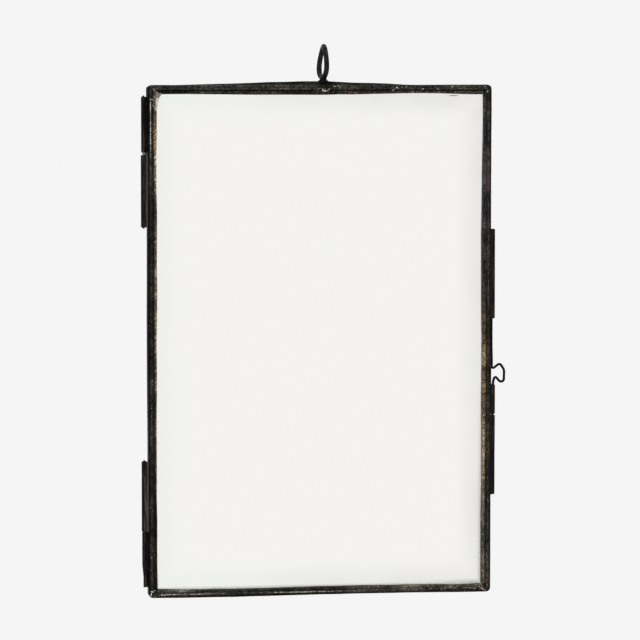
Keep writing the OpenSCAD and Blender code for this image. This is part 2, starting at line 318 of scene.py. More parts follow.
def pull(step):
    """Extrudes what is selected in edit mode."""
    bpy.ops.mesh.extrude_region_move(TRANSFORM_OT_translate={"value": step})


def slice_off(point, normal):
    """Saws off what lies beyond a plane, in edit mode, and closes the cut."""
    bpy.ops.mesh.select_all(action="SELECT")
    bpy.ops.mesh.bisect(plane_co=point, plane_no=normal, use_fill=True, clear_outer=True)


def pick_edges(piece, test):
    """Selects the edges, in edit mode, whose two ends pass the test."""
    bpy.ops.mesh.select_all(action="DESELECT")
    bpy.ops.mesh.select_mode(type="EDGE")
    mesh = bmesh.from_edit_mesh(piece.data)
    for edge in mesh.edges:
        if test(edge.verts[0].co, edge.verts[1].co):
            edge.select_set(True)
    bmesh.update_edit_mesh(piece.data)


def face_outwards():
    """Merges doubles and turns all faces outwards, in edit mode, and leaves it."""
    bpy.ops.mesh.select_all(action="SELECT")
    bpy.ops.mesh.remove_doubles(threshold=weld_gap)
    bpy.ops.mesh.normals_make_consistent(inside=False)
    bpy.ops.object.mode_set(mode="OBJECT")


def apply(piece, modifier):
    select(piece)
    bpy.ops.object.modifier_apply(modifier=modifier.name)


def soften(piece, width, segments=2, angle=30):
    """Rounds the sharp edges of a piece."""
    change = piece.modifiers.new("soften", "BEVEL")
    change.width = width
    change.segments = segments
    change.limit_method = "ANGLE"
    change.angle_limit = math.radians(angle)
    apply(piece, change)


def place_piece(piece, where):
    """Puts a piece in its place, with the place in its mesh."""
    select(piece)
    piece.matrix_world = where
    bpy.ops.object.transform_apply(location=True, rotation=True, scale=True)


def clouds(name, size, depth=1):
    """Soft noise for a displacement, with the size of its lumps."""
    texture = bpy.data.textures.new(name, "CLOUDS")
    texture.noise_scale = size
    texture.noise_depth = depth
    return texture


def clamp(value):
    return max(0.0, min(1.0, value))


def push(piece, direction, strength, weight=None, texture=None):
    """Pushes the surface along an axis or its normals, as far as the weight of each point."""
    change = piece.modifiers.new("push", "DISPLACE")
    change.direction = direction
    change.strength = strength
    change.mid_level = 0.5 if texture else 0.0
    change.texture = texture
    change.texture_coords = "LOCAL"
    if weight:
        group = piece.vertex_groups.new(name="push")
        for vertex in piece.data.vertices:
            group.add([vertex.index], clamp(weight(vertex.co)), "REPLACE")
        change.vertex_group = group.name
    apply(piece, change)
    piece.vertex_groups.clear()


def set_on(piece, material, slot, body, *nodes):
    """Finishes a piece: its smooth shading, its material, and the construction it stands for."""
    select(piece)
    bpy.ops.object.shade_smooth_by_angle(angle=math.radians(38))
    piece.data.materials.clear()
    piece.data.materials.append(material)
    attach(piece, body)
    if nodes:
        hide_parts(*nodes)


def channel_outline():
    """Section of the edging as (in from the outer edge, out from the seam)."""
    start = math.degrees(math.atan2(flat_d - bead_mid[1], bead_w / 2))
    bead = arc(bead_mid, bead_r, start, 180 - start, 10)
    return [
        (0, 0), (rail_w, 0), (rail_w, lip_t), (wall_t, lip_t),
        (wall_t, flat_d - lip_t), (rail_w, flat_d - lip_t), (rail_w, flat_d),
        (bead_w + 0.25 * mm, flat_d), (bead_w + 0.05 * mm, flat_d - 0.12 * mm), *bead,
    ]


def fold_channel(name, length):
    """A mitred length of edging along X. Its outer edge is at Z = 0 and the seam at Y = 0."""
    reach = length / 2
    piece = draw_outline(name, [(-reach, -out, inward) for inward, out in channel_outline()])
    pull((length, 0, 0))
    mitre = mitre_gap / 2 * math.sqrt(2)
    tip_cuts = (7, 19, 31, 43)
    for side in (-1, 1):
        slice_off((side * (reach - mitre), 0, 0), (side, 0, 1))
        for turn in tip_cuts:
            a = math.radians(turn)
            way = Vector((side * math.sin(a), 0, -math.cos(a)))
            hub = Vector((side * (reach - corner_r), 0, corner_r))
            slice_off(hub + way * corner_r, way)
    face_outwards()
    soften(piece, 0.07 * mm)
    bpy.ops.object.mode_set(mode="EDIT")
    for cuts, longer_than in ((79, 10 * mm), (1, 0.9 * mm)):
        pick_edges(piece, lambda a, b: abs(a.x - b.x) > longer_than)
        bpy.ops.mesh.subdivide(number_cuts=cuts)
    bpy.ops.object.mode_set(mode="OBJECT")
    return piece


hand_wave = clouds("hand_wave", 13 * mm)
small_dents = clouds("small_dents", 3.2 * mm, 2)


def inset_of(point):
    return min(half_w - abs(point.x - middle.x), half_h - abs(point.z - middle.z))


def height_of(point):
    return abs(point.y - seam_y) - seam_half


def ramp_up(value, low, high):
    return (value - low) / (high - low)


def nudge(piece, direction, most, shift):
    """Moves each point along an axis by its own distance, up or down, and never past most."""
    for way in (1, -1):
        push(piece, direction, way * most, lambda p: way * shift(p) / most)


def along(values, share):
    """Reads a row of evenly spaced values, in millimetres, at a share of its length."""
    at = clamp(share) * (len(values) - 1)
    i = min(int(at), len(values) - 2)
    return (values[i] + (values[i + 1] - values[i]) * (at - i)) * mm


# How far the outer edge and the inner lip of each side stray outwards and inwards from true,
# from the left or the bottom to the right or the top
strays = {
    "left": (
        (.33, .3, .3, .3, .3, .3, .25, .35, .46, .49, .52, .55, .46, .40, .40, .38, .35, .35, .38,
         .45, .6),
        (.03, -.15, -.21, -.11, -.43, -.34, -.36, -.39, -.18, -.13, -.29, -.01, .23, -.04, .11,
         .16, -.15, -.18, .07, .18, .38),
    ),
    "right": (
        (.08, .10, .13, .13, .1, .08, .1, .1, .35, .35, .05, 0, 0, 0, .05, .06, .05, .12, .11,
         .23, .17),
        (.15, .11, .17, .15, -.15, -.06, -.11, .05, .02, -.09, -.17, .09, .11, .17, .24, .01,
         -.12, -.24, -.60, -.68, -.52),
    ),
    "top": (
        (.11, .08, -.01, .04, .04, -.02, .06, .25, .12, .18, -.1, -.19, -.34, -.06, .04, -.2, .09,
         .11, .19, .17, .16),
        (.54, .42, .32, .47, .52, .67, .79, .81, .78, .83, .93, .66, .70, .44, .24, .04, -.03,
         .13, .5, .7, .8),
    ),
    "bottom": (
        (.02, .06, .23, .21, .22, .30, .16, .15, .02, -.03, -.14, -.09, -.20, -.14, -.12, -.15,
         -.05, .02, .19, .21, .24),
        (.10, -.17, -.62, -.74, -.66, -.85, -.78, -.80, -.60, -.50, -.32, -.42, -.28, -.34, -.45,
         -.40, -.50, -.55, -.85, -.70, -.10),
    ),
}


def work_by_hand(piece, side):
    """The waves and dents that hand rolling leaves. The glass keeps its slot."""
    upright = side in ("left", "right")
    outwards = -1 if side in ("left", "bottom") else 1
    outer, inner = strays[side]

    def stray(p):
        share = (p.z - bottom_z) / (2 * half_h) if upright else (p.x - left_x) / (2 * half_w)
        from_outside = clamp(ramp_up(inset_of(p), bead_w, 0.0))
        from_inside = clamp(ramp_up(inset_of(p), bead_w, rail_w))
        return outwards * (along(outer, share) * from_outside - along(inner, share) * from_inside)

    nudge(piece, "X" if upright else "Z", 1.2 * mm, stray)
    proud = lambda p: ramp_up(height_of(p), flat_d - 0.3 * mm, flat_d + 0.3 * mm)
    push(piece, "Y", 0.3 * mm, proud, hand_wave)
    push(piece, "NORMAL", 0.2 * mm, proud, small_dents)


def build_rub():
    """Mask of bright rub and painted highlight, broken into short dashes, on a band of the edging.
    """
    tree, given = new_group("rub_and_highlight_band", Inset="Float", Middle="Float", Width="Float",
                            Streak="Vector", Amount="Float")
    off = apart(tree, given["Inset"], given["Middle"])
    near = minus(tree, 1.0, calc(tree, "DIVIDE", off, given["Width"]))
    near = calc(tree, "MAXIMUM", near, 0.0)
    dashes = grain(tree, given["Streak"], 1250, 3, 0.7)
    groups = grain(tree, given["Streak"], 260, 2)
    both = calc(tree, "ADD", times(tree, dashes, 0.62), times(tree, groups, 0.38))
    wear_and_sheen = calc(tree, "ADD", both, times(tree, given["Amount"], 0.42))
    wear_and_sheen = times(tree, wear_and_sheen, fade(tree, near, 0.0, 0.75))
    end_group(tree, Mask=fade(tree, wear_and_sheen, 0.55, 0.72))
    return tree


def build_mottle():
    """Uneven black of a chemical patina: broad clouds, fine mottling, pits and scratches."""
    tree, given = new_group("mottle", Place="Vector", Streak="Vector")
    broad = grain(tree, given["Place"], 75, 2)
    fine = grain(tree, given["Place"], 1300, 3, 0.75)
    scratch = grain(tree, given["Streak"], 2300, 3, 0.6)
    tone = calc(tree, "ADD", times(tree, broad, 0.45), times(tree, fine, 0.3))
    tone = calc(tree, "ADD", tone, times(tree, scratch, 0.25))
    pits = fade(tree, grain(tree, given["Place"], 1700, 2), 0.60, 0.72)
    end_group(tree, Tone=fade(tree, tone, 0.40, 0.62), Pits=pits, Scratches=scratch,
              Fine=fade(tree, fine, 0.40, 0.60))
    return tree


rub_and_highlight_band = build_rub()
mottle = build_mottle()


def ramp(tree, value, stops):
    """Colours along a value, with stops = (place, red, green, blue) or (place, grey), in
    thousandths."""
    made = add(tree, "ValToRGB", {0: value})
    steps = made.color_ramp.elements
    steps.remove(steps[1])
    for i, (at, *tone) in enumerate(stops):
        step = steps.new(at / 1000) if i else steps[0]
        step.position = at / 1000
        step.color = (*[part / 1000 for part in (tone * 3)[:3]], 1)
    return made.outputs[0]


def by_side(tree, pane, left, right, top, bottom, value=None):
    """Colours by the stops of the side of the pane that a point is on, along that side from
    the left or the bottom, or along a value."""
    run_x = pane["Across"] if value is None else value
    run_z = pane["Up"] if value is None else value
    is_right = calc(tree, "GREATER_THAN", pane["Across"], 0.5)
    is_top = calc(tree, "GREATER_THAN", pane["Up"], 0.5)
    level = blend(tree, is_top, ramp(tree, run_x, bottom), ramp(tree, run_x, top))
    upright = blend(tree, is_right, ramp(tree, run_z, left), ramp(tree, run_z, right))
    return blend(tree, pane["Side"], level, upright)


def end_metal(tree, tone, bare, rough, gloss, relief, strength, depth):
    """Ends a material with its colour, where it is bare metal, how rough and how glossy it
    is, and its relief with the strength and depth of that."""
    end_material(tree, add(tree, "BsdfPrincipled", {
        "Base Color": tone, "Metallic": bare, "Roughness": rough, "Specular IOR Level": gloss,
        "Normal": add(tree, "Bump", {
            "Height": relief, "Strength": strength, "Distance": depth,
        }).outputs[0],
    }))


def build_edging():
    material, tree, place = new_material("blackened_edging")
    pane = use_group(tree, pane_place, Place=place)
    skin = use_group(tree, mottle, Place=place, Streak=pane["Streak"])
    across, up = pane["Across"], pane["Up"]

    # Across the edging: painted shade on the outer side of the left, right and bottom edging and in
    # the crease before the lip, and a painted highlight on the crest and along the top's outer edge
    share = calc(tree, "DIVIDE", pane["Inset"], rail_w)
    section = by_side(
        tree, pane, value=share,
        left=((0, 3.5, 3, 3), (80, 7, 6, 6), (200, 22, 20, 19), (310, 28, 26, 23),
              (430, 19, 16, 13), (560, 13, 10, 7)),
        right=((0, 5, 4.5, 4), (80, 8, 6.5, 6), (200, 15, 13, 12), (310, 34, 29, 25),
               (430, 27, 23, 17), (560, 23, 19, 15)),
        top=((0, 52, 50, 45), (100, 46, 44, 38), (200, 30, 28, 23), (310, 32, 30, 24),
             (430, 43, 39, 31), (540, 32, 27, 21), (640, 11, 9, 6)),
        bottom=((0, 4, 3, 3), (150, 10, 8, 7), (310, 24, 21, 18), (430, 34, 30, 25),
                (550, 30, 26, 21), (650, 26, 22, 19)),
    )
    # The peak over the top edging is blacker, and darker still round the foot of the ring and on
    # the edging below it
    section = tint(tree, section, fade(tree, pane["Inset"], -0.45 * mm, -0.05 * mm, 0.36, 1.0))
    ring_across, top_from = 0.509, 0.9
    from_ring = apart(tree, across, ring_across)
    at_top = calc(tree, "GREATER_THAN", up, top_from)
    ring_dark = times(tree, fade(tree, from_ring, .006, .0125, 1.0, 0.0),
                 fade(tree, pane["Inset"], 0.1 * mm, -0.4 * mm))
    ring_dark_wide = times(tree, fade(tree, from_ring, .010, .030, 0.6, 0.0),
                  fade(tree, pane["Inset"], 2.2 * mm, 1.2 * mm))
    ring_dark = times(tree, calc(tree, "MAXIMUM", ring_dark, ring_dark_wide), at_top)
    section = blend(tree, ring_dark, section, NEAR_RING_DARK)

    # Along the lip inside the bead: brown and tan by the hinges, tan by the latch, and in the
    # bead's shadow beside it
    lip = by_side(
        tree, pane,
        left=((0, 24, 20, 16), (120, 14, 11, 6), (180, 11, 9, 4), (225, 50, 40, 23),
              (300, 90, 63, 42), (380, 70, 58, 33), (460, 156, 117, 72), (520, 250, 205, 110),
              (580, 200, 159, 110), (630, 235, 165, 117), (725, 153, 122, 87), (765, 90, 85, 65),
              (800, 120, 110, 85), (843, 250, 210, 160), (882, 240, 145, 85), (940, 200, 145, 82),
              (985, 170, 145, 105)),
        right=((0, 40, 32, 22), (50, 80, 70, 50), (110, 100, 90, 78), (167, 180, 152, 124),
               (225, 310, 245, 168), (300, 225, 165, 98), (380, 150, 102, 58),
               (460, 170, 125, 64), (520, 130, 86, 47), (575, 73, 52, 36), (600, 28, 24, 21),
               (680, 24, 22, 19), (720, 32, 28, 31), (1000, 33, 29, 34)),
        top=((0, 12, 11, 9), (100, 14, 13, 12), (160, 38, 35, 30), (220, 38, 36, 32),
             (280, 38, 34, 26), (340, 36, 30, 17), (390, 10, 8, 5), (460, 12, 10, 7),
             (550, 34, 29, 18), (620, 70, 46, 36), (680, 44, 38, 35), (850, 60, 56, 50),
             (910, 43, 40, 35), (1000, 45, 38, 37)),
        bottom=((0, 40, 36, 30), (100, 130, 120, 100), (160, 30, 26, 22), (220, 21, 18, 16),
                (280, 45, 41, 34), (360, 27, 24, 17), (460, 23, 20, 16), (600, 34, 29, 25),
                (680, 58, 47, 40), (740, 95, 76, 58), (800, 75, 59, 44), (920, 120, 94, 73),
                (1000, 80, 64, 50)),
    )
    shadow = by_side(
        tree, pane,
        left=((0, 900), (300, 250, 220, 200), (840, 200), (900, 700, 620, 550)),
        right=((0, 300), (280, 300, 280, 280), (380, 1000)),
        top=((0, 250, 250, 200),),
        bottom=((0, 750),),
    )
    shadow = blend(tree, fade(tree, pane["Inset"], 3.3 * mm, 4.1 * mm), shadow, (1, 1, 1, 1))
    lip = tint(tree, lip, shadow)
    on_lip = times(tree, fade(tree, pane["Inset"], bead_w - 0.1 * mm, bead_w + 0.3 * mm),
                   fade(tree, pane["Height"], flat_d + 0.25 * mm, flat_d + 0.05 * mm))
    grit = fade(tree, grain(tree, place, 1250, 2, 0.6), 0.39, 0.61, 0.3, 1.8)
    base = blend(tree, on_lip, section, tint(tree, lip, grit))
    blotch = fade(tree, grain(tree, place, 620, 4, 0.75), 0.40, 0.60, 0.40, 1.5)
    base = tint(tree, base, blotch)
    base = tint(tree, base, fade(tree, skin["Tone"], 0.0, 1.0, 0.40, 1.45))

    # Bead: broken bright dashes where the black has been rubbed off, and a painted highlight along
    # the crest
    dash_tone = by_side(
        tree, pane,
        left=((0, 20), (770, 20), (810, 100, 100, 90), (860, 220, 210, 190), (885, 500, 480, 440),
              (962, 660, 640, 590), (975, 50)),
        right=((0, 240, 210, 140), (220, 200, 180, 130), (320, 110, 100, 90), (500, 80),
               (560, 140, 140, 150), (900, 150, 140, 140)),
        top=((0, 40, 40, 35), (40, 100, 100, 90), (100, 170, 170, 150), (200, 150, 140, 120),
             (300, 200, 190, 140), (350, 360, 330, 210), (420, 270, 250, 200),
             (500, 120, 100, 90), (620, 60), (720, 60, 50, 50), (820, 130, 120, 100),
             (900, 100, 90, 70), (925, 240, 210, 100), (965, 280, 260, 120), (980, 60, 60, 50)),
        bottom=((0, 20), (25, 20), (35, 460, 460, 430), (200, 420, 410, 380),
                (250, 200, 190, 170), (330, 300, 270, 220), (420, 480, 440, 360),
                (520, 450, 420, 340), (600, 200, 190, 160), (700, 300, 270, 220),
                (1000, 360, 320, 280)),
    )
    amount = add(tree, "RGBToBW", {0: dash_tone}).outputs[0]
    on_bead = fade(tree, pane["Height"], flat_d + 0.2 * mm, flat_d + 0.45 * mm)
    # Where the painted highlight lies across each side's bead, further in on the top and bottom
    sides = by_side(
        tree, pane,
        left=((0, 250),),
        right=((200, 420), (350, 340)),
        top=((0, 465),),
        bottom=((600, 400), (720, 520)),
    )
    dash_middle = times(tree, sides, rail_w)
    dashes = times(tree, on_bead, use_group(
        tree, rub_and_highlight_band, Inset=pane["Inset"], Middle=dash_middle, Width=0.56 * mm,
        Streak=pane["Streak"], Amount=amount,
    )["Mask"])
    chips = fade(tree, grain(tree, place, 1300, 1), 0.40, 0.56, 0.05, 1.0)
    dashes = times(tree, dashes, chips)
    base = blend(tree, dashes, base, dash_tone)

    # Specks of bare metal and dried flux, most of them on the lower half
    specks = fade(tree, grain(tree, place, 1150, 1), 0.70, 0.76)
    specks = times(tree, specks, fade(tree, up, 0.1, 0.7, 0.8, 0.25))
    base = blend(tree, specks, base, SPECK)
    bare = calc(tree, "MAXIMUM", dashes, specks)
    relief = minus(tree, times(tree, skin["Scratches"], 0.4), times(tree, skin["Pits"], 0.5))
    end_metal(tree, base, fade(tree, bare, 0.0, 1.0, 0.0, 0.85),
              fade(tree, skin["Fine"], 0.0, 1.0, 0.60, 0.42), 0.03, relief, 0.6, 0.07 * mm)
    return material


edging = build_edging()

flip_back = (
    Matrix.Translation((middle.x, seam_y, 0)) @ Matrix.Rotation(math.pi, 4, "Z")
    @ Matrix.Translation((-middle.x, -seam_y, 0))
)
door_places = {
    "bottom": ((middle.x, bottom_z), 0, 2 * half_w),
    "top": ((middle.x, top_z), 180, 2 * half_w),
    "left": ((left_x, middle.z), 90, 2 * half_h),
    "right": ((right_x, middle.z), -90, 2 * half_h),
}
turned_side = {"left": "right", "right": "left", "top": "top", "bottom": "bottom"}

# The back pane's top edging is pulled up into a low peak under the ring
crown_top_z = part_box("back_top_rail")[1].z
crown_left, crown_right, crown_flat = 89 * mm, 57 * mm, 3.15 * mm


def stand_at(x, z, turn):
    """Where a piece drawn at the origin stands on the door, turned in its plane."""
    return Matrix.Translation((x, door_seam_y, z)) @ Matrix.Rotation(math.radians(turn), 4, "Y")


def crown_at(point):
    """How far each point of the back's top edging is pulled up, from 0 to 1."""
    run = crown_left if point.x < 0 else crown_right
    rise = 1 - ramp_up(abs(point.x), crown_flat, run)
    return min(1, rise) * (1 if inset_of(point) < 0.45 * wall_t else 0)


for pane in ("front", "back"):
    for side, ((at_x, at_z), turn, length) in door_places.items():
        where = stand_at(at_x, at_z, turn)
        if pane == "back":
            where = flip_back @ where
            side = turned_side[side]
        rail = fold_channel(f"{pane}_{side}_edging", length)
        place_piece(rail, where)
        if (pane, side) == ("back", "top"):
            push(rail, "Z", crown_top_z - top_z, crown_at)
        work_by_hand(rail, side)
        set_on(rail, edging, "edging", "front_door" if pane == "front" else "back_frame",
               f"{pane}_{side}_rail")


# ---- Corner solder ----
# Tin solder run into each mitre. It is filed back but stands a little proud and lumpy, it
# wraps round the tip of the corner, and it shows silver where the black has rubbed off.

solder_t = 0.62 * mm
solder_proud = 0.12 * mm
solder_lumps = clouds("solder_lumps", 1.1 * mm, 2)
# Drops left on the front beside the mitres: across, up, length, height and turn, in millimetres
# and degrees, from the middle of the ring
drops = [
    (-104.15, -313.9, 0.75, 2.3, -8), (-103.5, -312.1, 1.9, 0.95, -10),
    (-102.1, -311.5, 0.9, 0.7, 0), (-101.9, -315.2, 0.6, 0.6, 0), (-97.6, -314.3, 1.2, 0.7, 0),
    (-96.3, -314.5, 0.7, 0.6, 0), (-93.2, -313.9, 1.6, 0.5, 8), (95.3, -314.6, 1.1, 0.7, -40),
    (96.6, -315.2, 0.8, 0.6, 0), (94.4, -313.9, 1.1, 0.7, -40), (93.2, -313.2, 0.9, 0.6, -40),
    (90.4, -314.3, 0.9, 0.5, 0), (97.45, -17.45, 1.1, 1.0, 0), (97.0, -16.2, 0.5, 0.5, 0),
    (95.9, -14.6, 1.2, 0.5, 0), (-99.9, -17.8, 0.8, 0.7, 0), (-101.9, -16.3, 4.4, 0.34, -40),
    (75.6, -312.4, 2.4, 0.45, -8), (75.6, -313.2, 2.0, 0.45, 40), (-103.9, -22.0, 0.6, 1.0, 0),
    (-102.4, -22.1, 0.7, 1.1, 20), (-103.3, -21.9, 0.5, 0.7, 10), (-103.9, -25.9, 0.6, 0.5, 0),
    (-102.4, -25.5, 0.5, 0.8, 0),
]

SOLDER_DARK = (0.005, 0.0042, 0.004, 1)
SOLDER_BRIGHT = (0.46, 0.45, 0.41, 1)


def build_solder(name, clean):
    material, tree, place = new_material(name)
    broad = grain(tree, place, 420, 3)
    fine = grain(tree, place, 2400, 4, 0.65)
    both = calc(tree, "ADD", times(tree, broad, 0.6), times(tree, fine, 0.4))
    bright = fade(tree, both, 0.38, 0.50, 0.35, 1.0) if clean else fade(
        tree, both, 0.46, 0.54, 0.0, 0.04)
    end_metal(tree, blend(tree, bright, SOLDER_DARK, SOLDER_BRIGHT),
              fade(tree, bright, 0.0, 1.0, 0.0, 1.0), fade(tree, fine, 0.3, 0.7, 0.3, 0.5),
              0.03, both, 0.5, 0.08 * mm)
    return material


solder = build_solder("old_solder", False)
clean_solder = build_solder("clean_solder", True)


def solder_outline():
    """The edging's section a little larger, filled, and short of the corner's round tip."""
    tip = corner_r * (1 - math.sqrt(0.5)) - solder_proud
    start = math.degrees(math.atan2(flat_d - bead_mid[1], bead_w / 2))
    bead = arc(bead_mid, bead_r + solder_proud, start, 180 - start, 8)
    return [
        (tip, 0), (rail_w + solder_proud, 0), (rail_w + solder_proud, flat_d + solder_proud),
        (bead_w + 0.3 * mm, flat_d + solder_proud), *[p for p in bead if p[0] > tip],
        (tip, flat_d + 0.5 * bead_h),
    ]


def melt(piece, voxel, smooth):
    """Runs the parts of a piece together and rounds them, as solder does when it melts."""
    change = piece.modifiers.new("melt", "REMESH")
    change.mode = "VOXEL"
    change.voxel_size = voxel
    apply(piece, change)
    change = piece.modifiers.new("round", "SMOOTH")
    change.factor = 0.5
    change.iterations = smooth
    apply(piece, change)


def fill_corner(name):
    """Solder in a mitre whose outer tip is at X = 0, Z = 0, with the seam at Y = 0."""
    across = Vector((1, 0, -1)).normalized() * solder_t / 2
    piece = draw_outline(
        name, [(inward - across.x, -out, inward - across.z) for inward, out in solder_outline()]
    )
    pull(2 * across)
    face_outwards()
    melt(piece, 0.14 * mm, 4)
    return piece


def join(name, pieces):
    """Makes one piece of several."""
    select(*pieces)
    bpy.ops.object.join()
    pieces[0].name = pieces[0].data.name = name
    return pieces[0]


def front_height(x, z):
    """How far the door's front stands out from the seam at a place on its edging."""
    inset = min(x - left_x, right_x - x, z - bottom_z, top_z - z)
    if inset > rail_w:
        return flat_d - 0.55 * mm
    if inset > bead_w:
        return flat_d
    return bead_mid[1] + math.sqrt(bead_r ** 2 - (inset - bead_mid[0]) ** 2)


def lump(name, place, size, uneven, turn=0.0):
    """An uneven lump of solder."""
    piece = start_piece(
        name, bpy.ops.mesh.primitive_ico_sphere_add, size, subdivisions=3, radius=0.5,
        location=place, rotation=(0, turn, 0),
    )
    push(piece, "NORMAL", uneven, None, solder_lumps)
    return piece


def dab(name, x, z, size, turn=0.0):
    """A flat lump of solder on the door's front, size = (length, height, thickness)."""
    long, high, thick = size
    return lump(name, (x, door_seam_y - front_height(x, z), z), (long, 2 * thick, high),
                0.5 * thick, turn)


def fill_inside(name, x, z):
    """A hollow fillet of dried flux inside the mitre at the top by the hinges."""
    sunk, thick = 0.3 * mm, 0.42 * mm
    # Its outline from the corner, in millimetres: over the top edging, down its hollow side
    # and back under the side edging
    outline = [(-0.3, 0.4), (3.2, 0.4), (3.2, 0.0), (2.7, -0.9), (2.3, -1.7), (1.7, -2.5),
               (1.5, -3.4), (1.3, -4.6), (1.0, -6.0), (0.6, -8.0), (0.2, -10.0), (-0.3, -10.0)]
    y = door_seam_y - flat_d + sunk
    piece = draw_outline(name, [(x + a * mm, y, z + b * mm) for a, b in outline])
    pull((0, -thick, 0))
    face_outwards()
    soften(piece, 0.08 * mm)
    return piece


def round_tip(x, z, size):
    """Solder that fills out the corner's round tip, as deep as the edging."""
    return lump("tip", (x, door_seam_y - flat_d / 2, z), (size, 1.15 * flat_d, size), 0.2 * mm)


corner_places = [
    ((left_x, bottom_z), 0), ((left_x, top_z), 90),
    ((right_x, top_z), 180), ((right_x, bottom_z), 270),
]
for pane, body in (("front", "front_door"), ("back", "back_frame")):
    blobs = []
    for (at_x, at_z), turn in corner_places:
        blob = fill_corner("solder_in_mitre")
        where = stand_at(at_x, at_z, turn)
        place_piece(blob, flip_back @ where if pane == "back" else where)
        push(blob, "NORMAL", 0.3 * mm,
             lambda p: ramp_up(height_of(p), 0.3 * mm, flat_d), solder_lumps)
        blobs.append(blob)
    if pane == "front":
        # The lower corners are filled out, and some flux lies on the glass below the top edging
        tip_in = 1.35 * mm
        blobs += [
            round_tip(left_x + tip_in, bottom_z + tip_in, 2.5 * mm),
            round_tip(97.7 * mm, bottom_z + 0.35 * mm, 1.5 * mm),
            dab("flux", 77.2 * mm, -20.0 * mm, (5.6 * mm, 0.4 * mm, 0.06 * mm)),
        ]
    set_on(join(f"{pane}_corner_solder_seams", blobs), solder, "solder", body,
           f"{pane}_corner_solder")
clean = [dab("drop", x * mm, z * mm, (long * mm, high * mm, 0.3 * mm), -math.radians(turn))
         for x, z, long, high, turn in drops]
set_on(join("corner_solder_drops", clean), clean_solder, "solder", "front_door")

# At the top by the hinges the flux that dried inside the mitre was never cleaned out
FLUX_BROWN = (0.17, 0.16, 0.14, 1)
FLUX_PALE = (0.46, 0.44, 0.40, 1)


def build_flux():
    """Dried flux: a chalky, greyish crust, browner where it is thick."""
    material, tree, place = new_material("dried_flux")
    height = add(tree, "SeparateXYZ", {0: place}).outputs["Z"]
    thin = fade(tree, height, top_z - rail_w - 2.0 * mm, top_z - rail_w - 3.2 * mm)
    crust = blend(tree, thin, FLUX_BROWN, FLUX_PALE)
    base = tint(tree, crust, fade(tree, grain(tree, place, 1300, 3), 0.3, 0.7, 0.6, 1.3))
    end_material(tree, add(tree, "BsdfPrincipled", {
        "Base Color": base, "Roughness": 0.7, "Specular IOR Level": 0.2,
    }))
    return material


under_lip = 0.1 * mm
set_on(fill_inside("corner_fillet", left_x + rail_w - under_lip, top_z - rail_w - under_lip),
       build_flux(), "solder", "front_door")


# ---- Hinge knuckles ----
# Tubes rolled from the same sheet round a wire. The sheet leaves each roll along its pane's
# side of the seam and turns down into a leaf that is soldered to the side of the edging.

tube_t = 0.6 * mm
leaf_t = 0.5 * mm
leaf_bend = 0.3 * mm
leaf_reach = 3.1 * mm
roll_gap = 0.08 * mm

TUBE_BLACK = (0.0055, 0.005, 0.0045, 1)
TUBE_GREY = (0.034, 0.029, 0.025, 1)
# Painted light in the groove between the rolls and the edging
TUBE_LEAF_LIT = (0.07, 0.064, 0.056, 1)
# Rubbed metal and painted highlight on the rolls
TUBE_RUB_AND_HIGHLIGHT = (0.085, 0.078, 0.068, 1)
# Where the painted light on the upper latch tube's leaf fades in
leaf_lit_from_z, leaf_lit_to_z = -210 * mm, -150 * mm


def build_rolled_sheet():
    material, tree, place = new_material("blackened_tube")
    along = add(tree, "Mapping", {"Vector": place, "Scale": (1, 1, 0.06)}).outputs[0]
    skin = use_group(tree, mottle, Place=place, Streak=along)
    draw_lines = fade(tree, grain(tree, along, 1500, 3), 0.42, 0.62)
    split = add(tree, "SeparateXYZ", {0: place}).outputs
    out_y = apart(tree, split["Y"], seam_y)
    # A band along the front and back of each roll, rubbed bright in places and painted as its
    # highlight
    rub_and_highlight = use_group(tree, rub_and_highlight_band, Inset=out_y, Middle=1.5 * mm, Width=0.5 * mm,
                    Streak=along, Amount=0.12)["Mask"]
    base = blend(tree, times(tree, skin["Tone"], draw_lines), TUBE_BLACK, TUBE_GREY)
    # The leaves of the hinges and of the upper latch tube carry painted light beside the edging, in
    # the shaded groove between roll and edging
    leaf = times(tree, calc(tree, "GREATER_THAN", split["X"], right_x),
                 fade(tree, split["X"], right_x + 1.3 * mm, right_x + 0.9 * mm))
    leaf = times(tree, leaf, fade(tree, split["Z"], leaf_lit_from_z, leaf_lit_to_z))
    other = times(tree, calc(tree, "LESS_THAN", split["X"], left_x),
                  fade(tree, split["X"], left_x - 1.5 * mm, left_x - 1.0 * mm))
    leaf = times(tree, calc(tree, "MAXIMUM", leaf, other),
                 fade(tree, skin["Fine"], 0.0, 1.0, 0.5, 1.0))
    base = blend(tree, leaf, base, TUBE_LEAF_LIT)
    end_metal(tree, blend(tree, rub_and_highlight, base, TUBE_RUB_AND_HIGHLIGHT), fade(tree, rub_and_highlight, 0.0, 1.0, 0.0, 0.7),
              fade(tree, skin["Scratches"], 0.2, 0.8, 0.38, 0.58), 0.03,
              skin["Scratches"], 0.4, 0.05 * mm)
    return material


rolled_sheet = build_rolled_sheet()


def rolled_outline(radius, wall, offset):
    """Section of a rolled sheet with its axis at 0, 0 and the side of the pane at X = offset."""
    turn_x = offset - leaf_t - leaf_bend
    hub = (turn_x, radius + leaf_bend)
    shut = math.degrees(math.asin((radius - wall - roll_gap) / radius))
    leaf_end = seam_half + leaf_reach
    outer = arc((0, 0), radius, shut, -270, 30)
    inner = arc((0, 0), radius - wall, -270, shut, 24)
    return [
        *outer, *arc(hub, leaf_bend, -90, 0, 4),
        (offset - leaf_t, leaf_end), (offset, leaf_end),
        *arc(hub, leaf_bend + leaf_t, 0, -90, 4), *inner,
    ]


